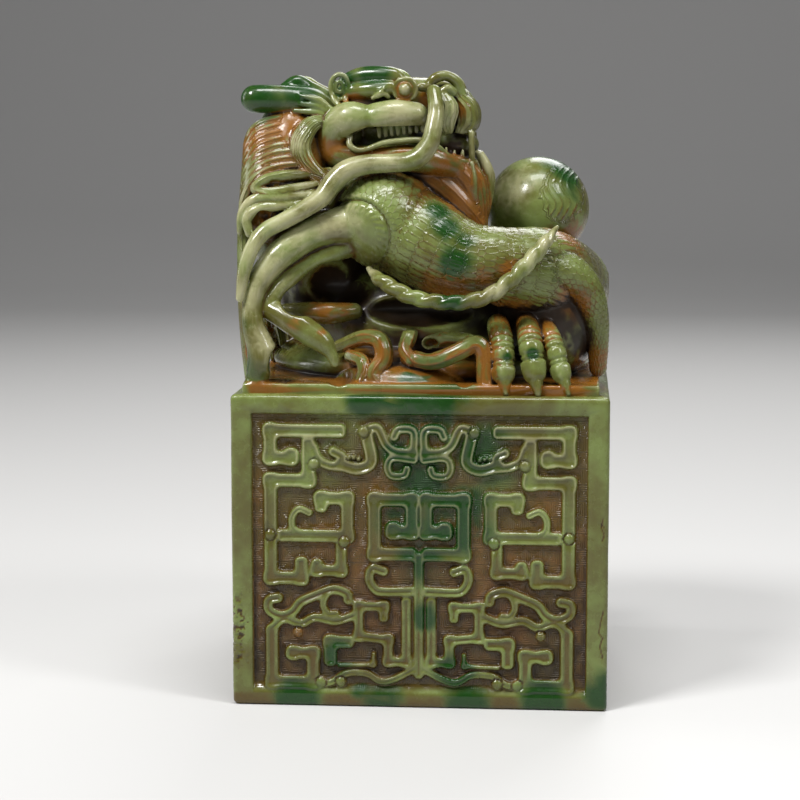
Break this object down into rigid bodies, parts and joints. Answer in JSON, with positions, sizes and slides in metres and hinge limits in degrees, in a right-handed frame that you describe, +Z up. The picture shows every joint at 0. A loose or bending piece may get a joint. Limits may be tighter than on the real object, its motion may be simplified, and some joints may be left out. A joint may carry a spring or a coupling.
{
  "type": "stone seal with dragon knob",
  "caption": "Square carved stone seal with sunk fret panels and a crouching dragon that guards a pearl as its knob; stands on its flat underside.",
  "frame": {"origin": "middle of the block's underside", "axes": "+X to the right and +Y to the back as the front panel is looked at, +Z up"},
  "size_m": [0.06, 0.06, 0.1021],
  "materials": {
    "stone": "polished, mottled celadon to deep green, with orange-brown stain in the carved recesses"
  },
  "bodies": {
    "root": {"dragon_seal": "stone"}
  },
  "joints": []
}
